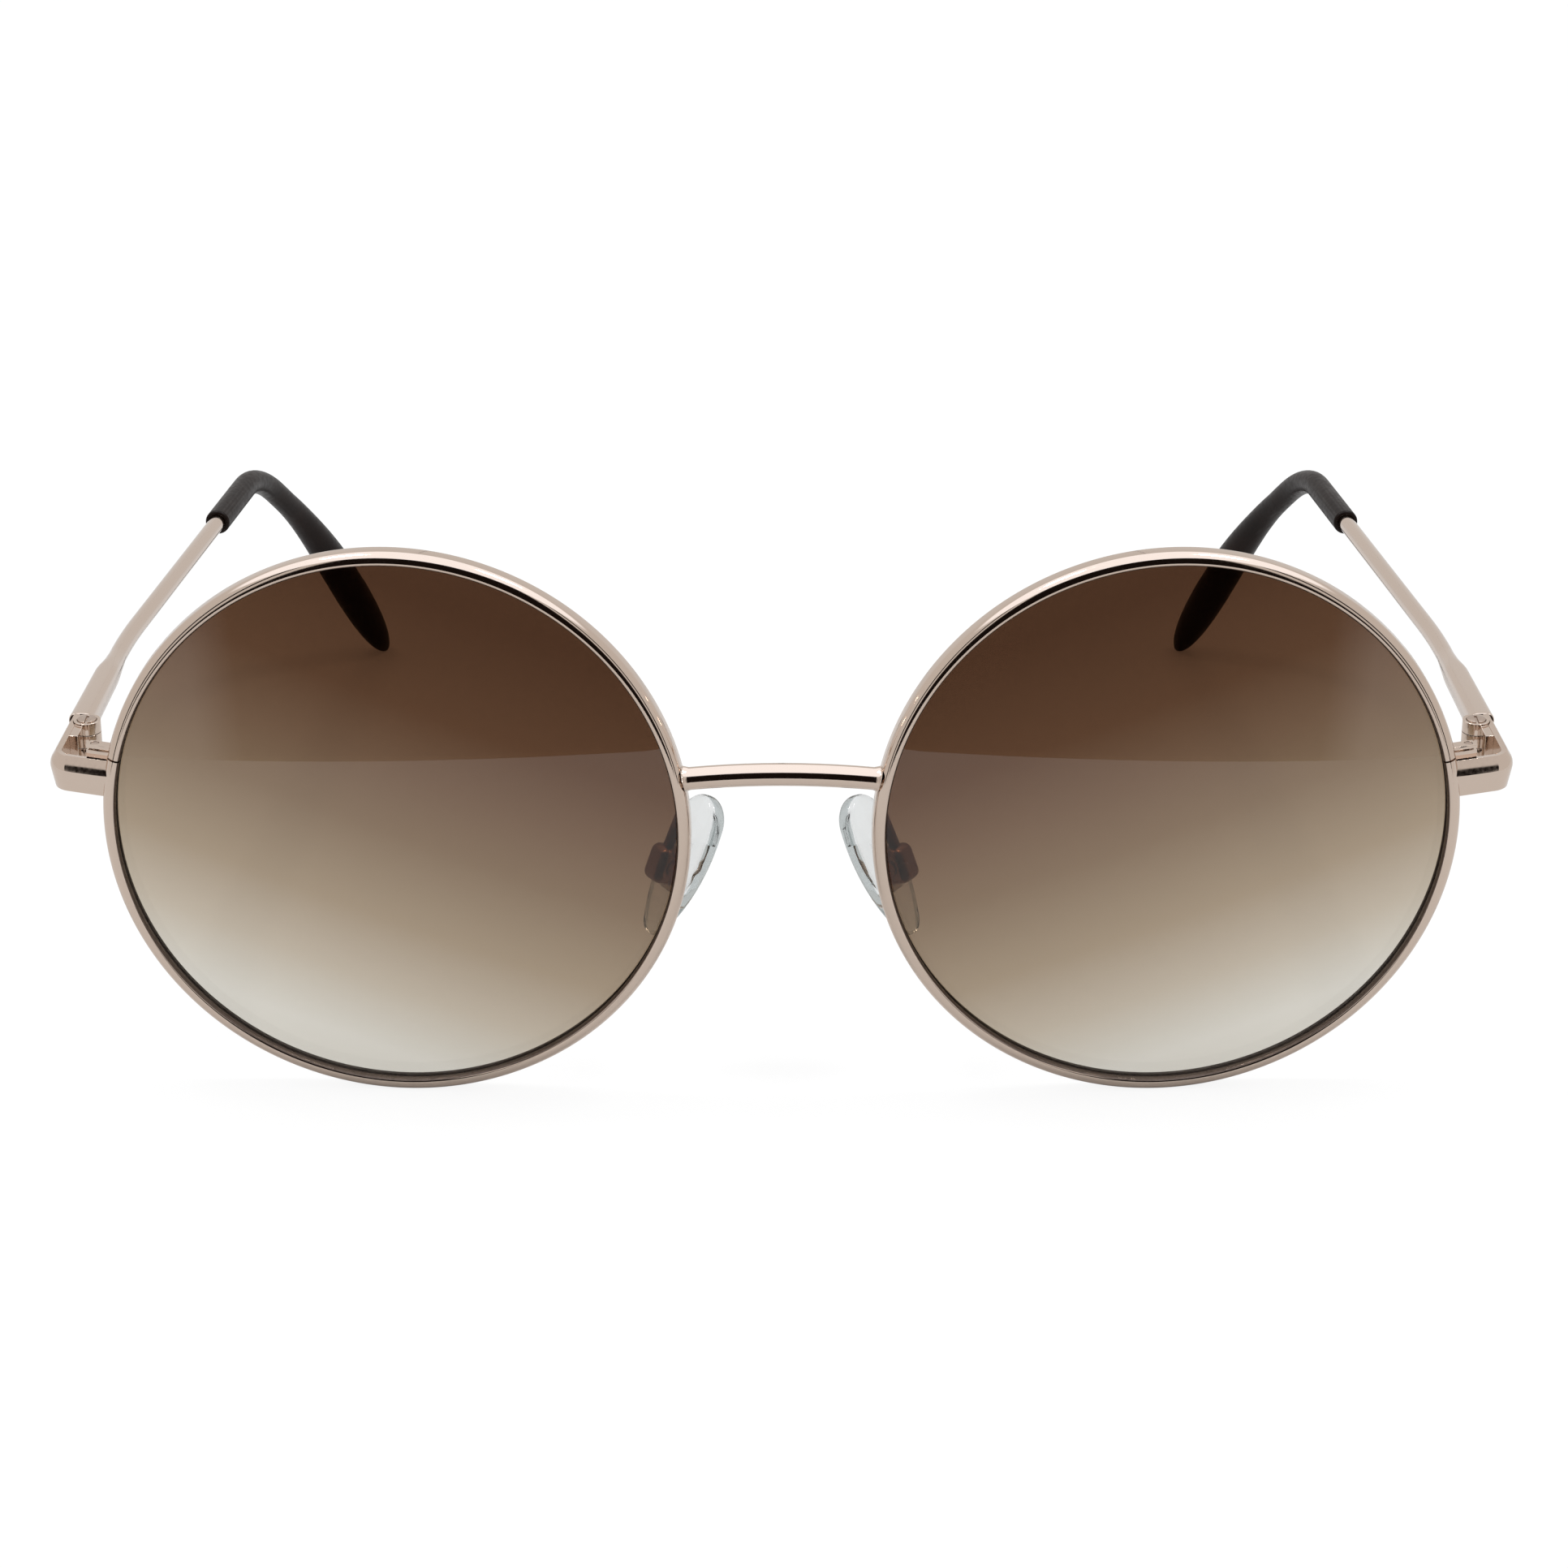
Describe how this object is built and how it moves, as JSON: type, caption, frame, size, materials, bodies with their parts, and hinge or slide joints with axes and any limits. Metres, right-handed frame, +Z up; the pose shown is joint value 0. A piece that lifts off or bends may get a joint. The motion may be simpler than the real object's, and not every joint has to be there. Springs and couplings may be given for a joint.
{
  "type": "round sunglasses",
  "caption": "Oversized round wire sunglasses with gradient tinted lenses, rocking nose pads and spring-hinged folding temples with curved plastic tips.",
  "frame": {"origin": "on the table under the middle of the open sunglasses, half way from the front to the ends of the tips", "axes": "+X to the wearer's left, +Y from the front back towards the ears, +Z up"},
  "size_m": [0.144, 0.1318, 0.0578],
  "materials": {
    "rose_gold": "polished rose gold plating over nickel silver",
    "screw": "rose gold plated screw",
    "spring_steel": "bright drawn spring steel",
    "tinted_lens": "polished gradient brown resin",
    "brown_plastic": "polished dark brown acetate",
    "clear_plastic": "clear moulded silicone"
  },
  "bodies": {
    "front": {"bridge": "rose_gold", "rim_left": "rose_gold", "lens_left": "tinted_lens", "end_piece_left": "rose_gold", "closing_block_upper_left": "rose_gold", "closing_block_lower_left": "rose_gold", "closing_screw_left": "screw", "hinge_knuckles_left": "rose_gold", "pad_box_left": "rose_gold", "pad_screw_left": "screw", "pad_arm_left": "rose_gold", "rim_right": "rose_gold", "lens_right": "tinted_lens", "end_piece_right": "rose_gold", "closing_block_upper_right": "rose_gold", "closing_block_lower_right": "rose_gold", "closing_screw_right": "screw", "hinge_knuckles_right": "rose_gold", "pad_box_right": "rose_gold", "pad_screw_right": "screw", "pad_arm_right": "rose_gold"},
    "hinge_pin_left": {"hinge_screw_left": "screw"},
    "leaf_left": {"hinge_leaf_left": "rose_gold", "spring_stop_left": "spring_steel"},
    "arm_left": {"temple_left": "rose_gold", "spring_box_left": "rose_gold", "temple_tip_left": "brown_plastic", "hinge_spring_left": "spring_steel"},
    "pad_left": {"nose_pad_left": "clear_plastic", "pad_lug_left": "rose_gold"},
    "hinge_pin_right": {"hinge_screw_right": "screw"},
    "leaf_right": {"hinge_leaf_right": "rose_gold", "spring_stop_right": "spring_steel"},
    "arm_right": {"temple_right": "rose_gold", "spring_box_right": "rose_gold", "temple_tip_right": "brown_plastic", "hinge_spring_right": "spring_steel"},
    "pad_right": {"nose_pad_right": "clear_plastic", "pad_lug_right": "rose_gold"}
  },
  "joints": [
    {"name": "temple_fold_left", "type": "hinge", "parent": "front", "child": "hinge_pin_left", "pos_m": [0.0693, -0.05133, 0.03377], "axis": [0, -0.0412, 0.9992], "range_deg": [0, 84]},
    {"name": "temple_flex_left", "type": "hinge", "parent": "hinge_pin_left", "child": "leaf_left", "pos_m": [0.0693, -0.05133, 0.03377], "axis": [0, 0.0412, -0.9992], "range_deg": [0, 10], "stiffness_Nm_per_rad": 0.4},
    {"name": "spring_slide_left", "type": "slide", "parent": "leaf_left", "child": "arm_left", "axis": [-0.0118, 0.9993, -0.0356], "range_m": [0, 0.00065], "deforming": ["hinge_spring_left"]},
    {"name": "pad_rock_left", "type": "hinge", "parent": "front", "child": "pad_left", "pos_m": [0.01163, -0.05818, 0.02319], "axis": [0.5736, 0.8185, 0.0337], "range_deg": [-8, 8]},
    {"name": "temple_fold_right", "type": "hinge", "parent": "front", "child": "hinge_pin_right", "pos_m": [-0.0693, -0.05133, 0.03377], "axis": [0, 0.0412, -0.9992], "range_deg": [0, 75.5]},
    {"name": "temple_flex_right", "type": "hinge", "parent": "hinge_pin_right", "child": "leaf_right", "pos_m": [-0.0693, -0.05133, 0.03377], "axis": [0, -0.0412, 0.9992], "range_deg": [0, 10], "stiffness_Nm_per_rad": 0.4},
    {"name": "spring_slide_right", "type": "slide", "parent": "leaf_right", "child": "arm_right", "axis": [0.0118, 0.9993, -0.0356], "range_m": [0, 0.00065], "deforming": ["hinge_spring_right"]},
    {"name": "pad_rock_right", "type": "hinge", "parent": "front", "child": "pad_right", "pos_m": [-0.01163, -0.05818, 0.02319], "axis": [0.5736, -0.8185, -0.0337], "range_deg": [-8, 8]}
  ],
  "couplings": [
    {"joint": "spring_slide_left", "follows": "temple_flex_left", "m_per_rad": 0.00358},
    {"joint": "spring_slide_right", "follows": "temple_flex_right", "m_per_rad": 0.00358}
  ]
}
